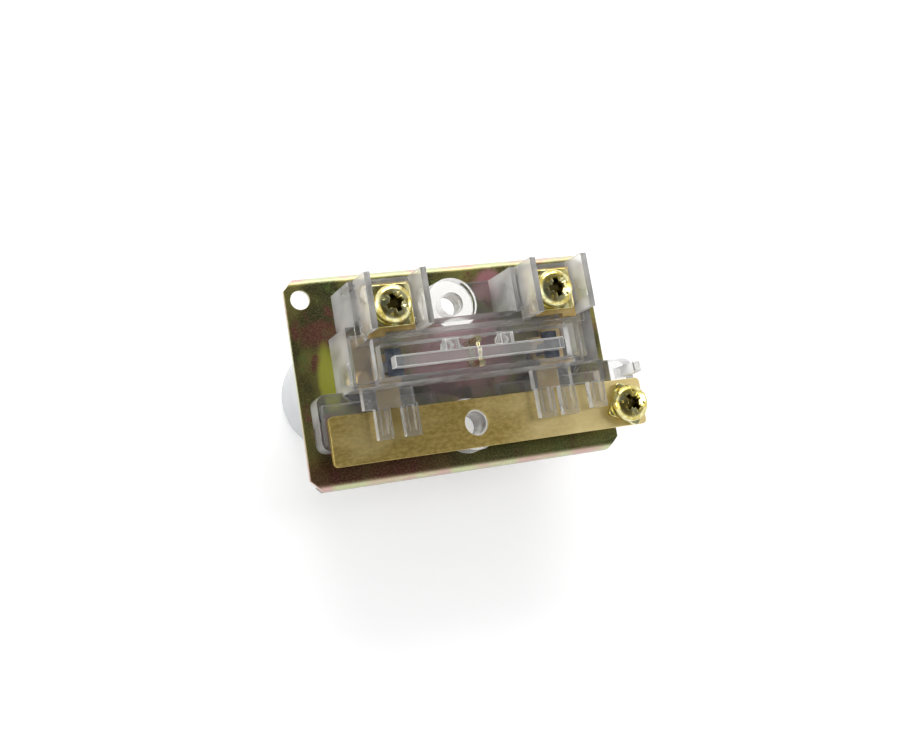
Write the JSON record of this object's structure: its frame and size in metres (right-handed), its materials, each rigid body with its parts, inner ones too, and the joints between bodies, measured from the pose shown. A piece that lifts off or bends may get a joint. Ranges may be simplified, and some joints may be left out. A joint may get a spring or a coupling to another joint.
{
  "type": "cartridge fuse holder",
  "caption": "Twin panel fuse holder: folded steel plate, clear terminal block with a common brass bar, screw terminals and two screw-in fuse carriers.",
  "frame": {"origin": "on the axis midway between the two boss bores, on the plate's terminal-side face", "axes": "+X along the plate, the way the feed terminal sticks out; +Y from the common bar to the outgoing terminals; +Z out of the plate on the terminal side"},
  "size_m": [0.0638, 0.038, 0.0357],
  "materials": {
    "plated_steel": "yellow passivated zinc, satin",
    "clear_block": "clear moulded plastic, gloss",
    "clear_rocker": "clear moulded plastic, gloss",
    "bar_brass": "brushed, dulled",
    "strip_brass": "satin",
    "wire_brass": "bright",
    "screw_zinc": "yellow passivated zinc, gloss",
    "pad_grey": "dark, dull",
    "spring_steel": "bright wire",
    "gasket_rubber": "matt",
    "black_phenolic": "satin",
    "white_cap": "smooth, semi-gloss",
    "fuse_glass": "clear",
    "nickel": "plated",
    "fuse_wire": "tinned"
  },
  "bodies": {
    "holder": {"mounting_plate": "plated_steel", "terminal_body": "clear_block", "common_bar": "bar_brass", "pivot_staple": "wire_brass", "pivot_pin": "wire_brass", "left_line_terminal": "strip_brass", "left_feed_strap": "strip_brass", "left_pressure_stud": "pad_grey", "left_bar_spring": "spring_steel", "left_panel_gasket": "gasket_rubber", "left_fuse_socket": "black_phenolic", "left_shell_contact": "strip_brass", "left_tip_rivet": "strip_brass", "right_line_terminal": "strip_brass", "right_feed_strap": "strip_brass", "right_pressure_stud": "pad_grey", "right_bar_spring": "spring_steel", "right_panel_gasket": "gasket_rubber", "right_fuse_socket": "black_phenolic", "right_shell_contact": "strip_brass", "right_tip_rivet": "strip_brass"},
    "rocker": {"pressure_bar": "clear_rocker"},
    "left_washer": {"left_terminal_washer": "screw_zinc"},
    "left_screw": {"left_terminal_screw": "screw_zinc"},
    "right_washer": {"right_terminal_washer": "screw_zinc"},
    "right_screw": {"right_terminal_screw": "screw_zinc"},
    "feed_washer": {"feed_terminal_washer": "screw_zinc"},
    "feed_screw": {"feed_terminal_screw": "screw_zinc"},
    "left_fuse": {"left_cap_cup": "strip_brass", "left_cap_spring": "spring_steel", "left_fuse_tube": "fuse_glass", "left_fuse_outer_ferrule": "nickel", "left_fuse_tip_ferrule": "nickel", "left_fuse_element": "fuse_wire"},
    "left_cap": {"left_fuse_cap": "white_cap"},
    "right_fuse": {"right_cap_cup": "strip_brass", "right_cap_spring": "spring_steel", "right_fuse_tube": "fuse_glass", "right_fuse_outer_ferrule": "nickel", "right_fuse_tip_ferrule": "nickel", "right_fuse_element": "fuse_wire"},
    "right_cap": {"right_fuse_cap": "white_cap"}
  },
  "joints": [
    {"name": "rocker_tilt", "type": "hinge", "parent": "holder", "child": "rocker", "pos_m": [0, 0.00035, 0.0118], "axis": [0, 1, 0], "range_deg": [-2.5, 2.5], "stiffness_Nm_per_rad": 0.0005},
    {"name": "left_screw_lift", "type": "slide", "parent": "holder", "child": "left_washer", "axis": [0, 0, 1], "range_m": [0, 0.003]},
    {"name": "left_screw_turn", "type": "hinge", "parent": "left_washer", "child": "left_screw", "pos_m": [-0.0152, 0.0099, 0.014], "axis": [0, 0, 1], "range_deg": [0, 1800.1]},
    {"name": "right_screw_lift", "type": "slide", "parent": "holder", "child": "right_washer", "axis": [0, 0, 1], "range_m": [0, 0.003]},
    {"name": "right_screw_turn", "type": "hinge", "parent": "right_washer", "child": "right_screw", "pos_m": [0.0152, 0.0099, 0.014], "axis": [0, 0, 1], "range_deg": [0, 1800.1]},
    {"name": "feed_screw_lift", "type": "slide", "parent": "holder", "child": "feed_washer", "axis": [0, 0, 1], "range_m": [0, 0.003]},
    {"name": "feed_screw_turn", "type": "hinge", "parent": "feed_washer", "child": "feed_screw", "pos_m": [0.0298, -0.0116, 0.014], "axis": [0, 0, 1], "range_deg": [0, 1800.1]},
    {"name": "left_carrier_draw", "type": "slide", "parent": "holder", "child": "left_fuse", "axis": [0, 0, -1], "range_m": [0, 0.006]},
    {"name": "left_cap_turn", "type": "hinge", "parent": "left_fuse", "child": "left_cap", "pos_m": [-0.0189, -0.0009, -0.01], "axis": [0, 0, -1], "range_deg": [0, 1440.1]},
    {"name": "right_carrier_draw", "type": "slide", "parent": "holder", "child": "right_fuse", "axis": [0, 0, -1], "range_m": [0, 0.006]},
    {"name": "right_cap_turn", "type": "hinge", "parent": "right_fuse", "child": "right_cap", "pos_m": [0.0189, -0.0009, -0.01], "axis": [0, 0, -1], "range_deg": [0, 1440.1]}
  ],
  "couplings": [
    {"joint": "left_screw_turn", "follows": "left_screw_lift", "rad_per_m": 10472},
    {"joint": "right_screw_turn", "follows": "right_screw_lift", "rad_per_m": 10472},
    {"joint": "feed_screw_turn", "follows": "feed_screw_lift", "rad_per_m": 10472},
    {"joint": "left_cap_turn", "follows": "left_carrier_draw", "rad_per_m": 4188.8},
    {"joint": "right_cap_turn", "follows": "right_carrier_draw", "rad_per_m": 4188.8}
  ]
}
